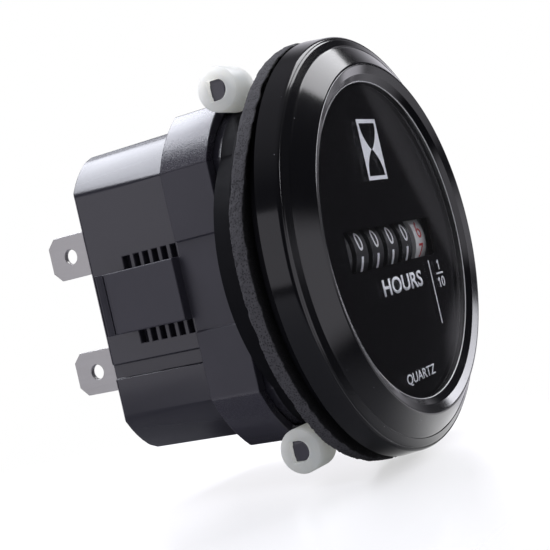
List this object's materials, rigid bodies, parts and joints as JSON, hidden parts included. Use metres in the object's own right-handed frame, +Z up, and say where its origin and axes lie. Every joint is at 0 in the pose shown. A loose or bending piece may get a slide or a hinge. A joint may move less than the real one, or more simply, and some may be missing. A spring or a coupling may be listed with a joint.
{
  "type": "panel hour meter",
  "caption": "Round panel hour meter with a glossy bezel, number-wheel counter behind a clear lens, blade terminals and a sliding ratchet clamp with soft feet.",
  "frame": {"origin": "on the dial's axis, in the plane where the case's flange meets the panel", "axes": "+X to the right seen from the dial, +Y from the dial towards the terminals, +Z up"},
  "size_m": [0.0588, 0.0507, 0.0588],
  "materials": {
    "bezel": "gloss black moulding",
    "lens": "clear moulded sheet",
    "seal": "matte",
    "dial": "gloss black with printed white marks",
    "case": "satin dark grey moulding",
    "gasket": "open-cell foam",
    "clamp": "satin dark grey moulding with an eroded grain",
    "foot": "soft translucent off-white",
    "terminal": "tinned, lightly scratched",
    "board": "green lacquer",
    "chip": "moulded resin",
    "steel": "bright drawn",
    "capacitor": "shrink sleeve",
    "resistor": "lacquered",
    "copper": "enamelled wire",
    "frame": "stamped",
    "number_wheel": "satin black with printed white digits",
    "tenths_wheel": "satin white with printed red digits",
    "gear": "natural acetal",
    "magnet": "plastic-bonded ferrite"
  },
  "bodies": {
    "housing": {"bezel": "bezel", "lens": "lens", "lens_seal": "seal", "dial_plate": "dial", "case": "case", "panel_gasket": "gasket", "terminal_upper": "terminal", "terminal_lower": "terminal", "circuit_board": "board", "timer_chip": "chip", "quartz_crystal": "steel", "capacitor": "capacitor", "resistors": "resistor", "coil_leads": "copper", "counter_frame": "frame", "frame_screws": "steel", "wheel_shaft": "steel", "pinion_shaft": "steel", "train_bridge": "frame", "motor_cup": "steel", "motor_cover": "steel", "motor_coil": "copper"},
    "clamp": {"clamp": "clamp", "foot_top_left": "foot", "foot_top_right": "foot", "foot_bottom_left": "foot", "foot_bottom_right": "foot"},
    "wheel_ten_thousands": {"wheel_ten_thousands": "number_wheel"},
    "wheel_thousands": {"wheel_thousands": "number_wheel"},
    "wheel_hundreds": {"wheel_hundreds": "number_wheel"},
    "wheel_tens": {"wheel_tens": "number_wheel"},
    "wheel_units": {"wheel_units": "number_wheel"},
    "wheel_tenths": {"wheel_tenths": "tenths_wheel"},
    "transfer_pinion_1": {"transfer_pinion_1": "gear"},
    "transfer_pinion_2": {"transfer_pinion_2": "gear"},
    "transfer_pinion_3": {"transfer_pinion_3": "gear"},
    "transfer_pinion_4": {"transfer_pinion_4": "gear"},
    "transfer_pinion_5": {"transfer_pinion_5": "gear"},
    "train_wheel": {"train_wheel": "gear"},
    "rotor": {"rotor": "magnet"}
  },
  "joints": [
    {"name": "clamp_slide", "type": "slide", "parent": "housing", "child": "clamp", "axis": [0, 1, 0], "range_m": [0, 0.008]},
    {"name": "tenths_spin", "type": "hinge", "parent": "housing", "child": "wheel_tenths", "pos_m": [0, 0.00205, -0.0005], "axis": [1, 0, 0], "continuous": true},
    {"name": "units_spin", "type": "hinge", "parent": "housing", "child": "wheel_units", "pos_m": [0, 0.00205, -0.0005], "axis": [1, 0, 0], "continuous": true},
    {"name": "tens_spin", "type": "hinge", "parent": "housing", "child": "wheel_tens", "pos_m": [0, 0.00205, -0.0005], "axis": [1, 0, 0], "continuous": true},
    {"name": "hundreds_spin", "type": "hinge", "parent": "housing", "child": "wheel_hundreds", "pos_m": [0, 0.00205, -0.0005], "axis": [1, 0, 0], "continuous": true},
    {"name": "thousands_spin", "type": "hinge", "parent": "housing", "child": "wheel_thousands", "pos_m": [0, 0.00205, -0.0005], "axis": [1, 0, 0], "continuous": true},
    {"name": "ten_thousands_spin", "type": "hinge", "parent": "housing", "child": "wheel_ten_thousands", "pos_m": [0, 0.00205, -0.0005], "axis": [1, 0, 0], "continuous": true},
    {"name": "pinion_1_spin", "type": "hinge", "parent": "housing", "child": "transfer_pinion_1", "pos_m": [0, 0.0052, 0.00496], "axis": [1, 0, 0], "continuous": true},
    {"name": "pinion_2_spin", "type": "hinge", "parent": "housing", "child": "transfer_pinion_2", "pos_m": [0, 0.0052, 0.00496], "axis": [1, 0, 0], "continuous": true},
    {"name": "pinion_3_spin", "type": "hinge", "parent": "housing", "child": "transfer_pinion_3", "pos_m": [0, 0.0052, 0.00496], "axis": [1, 0, 0], "continuous": true},
    {"name": "pinion_4_spin", "type": "hinge", "parent": "housing", "child": "transfer_pinion_4", "pos_m": [0, 0.0052, 0.00496], "axis": [1, 0, 0], "continuous": true},
    {"name": "pinion_5_spin", "type": "hinge", "parent": "housing", "child": "transfer_pinion_5", "pos_m": [0, 0.0052, 0.00496], "axis": [1, 0, 0], "continuous": true},
    {"name": "train_spin", "type": "hinge", "parent": "housing", "child": "train_wheel", "pos_m": [0, 0.00057, -0.00693], "axis": [1, 0, 0], "continuous": true},
    {"name": "rotor_spin", "type": "hinge", "parent": "housing", "child": "rotor", "pos_m": [0, 0.00217, -0.01146], "axis": [1, 0, 0], "continuous": true}
  ],
  "couplings": [
    {"joint": "units_spin", "follows": "tenths_spin", "ratio": 0.1},
    {"joint": "tens_spin", "follows": "tenths_spin", "ratio": 0.01},
    {"joint": "hundreds_spin", "follows": "tenths_spin", "ratio": 0.001},
    {"joint": "thousands_spin", "follows": "tenths_spin", "ratio": 0.0001},
    {"joint": "ten_thousands_spin", "follows": "tenths_spin", "ratio": 0.00001},
    {"joint": "pinion_1_spin", "follows": "tenths_spin", "ratio": -0.000025},
    {"joint": "pinion_2_spin", "follows": "tenths_spin", "ratio": -0.00025},
    {"joint": "pinion_3_spin", "follows": "tenths_spin", "ratio": -0.0025},
    {"joint": "pinion_4_spin", "follows": "tenths_spin", "ratio": -0.025},
    {"joint": "pinion_5_spin", "follows": "tenths_spin", "ratio": -0.25},
    {"joint": "train_spin", "follows": "tenths_spin", "ratio": -3},
    {"joint": "rotor_spin", "follows": "tenths_spin", "ratio": 15}
  ]
}
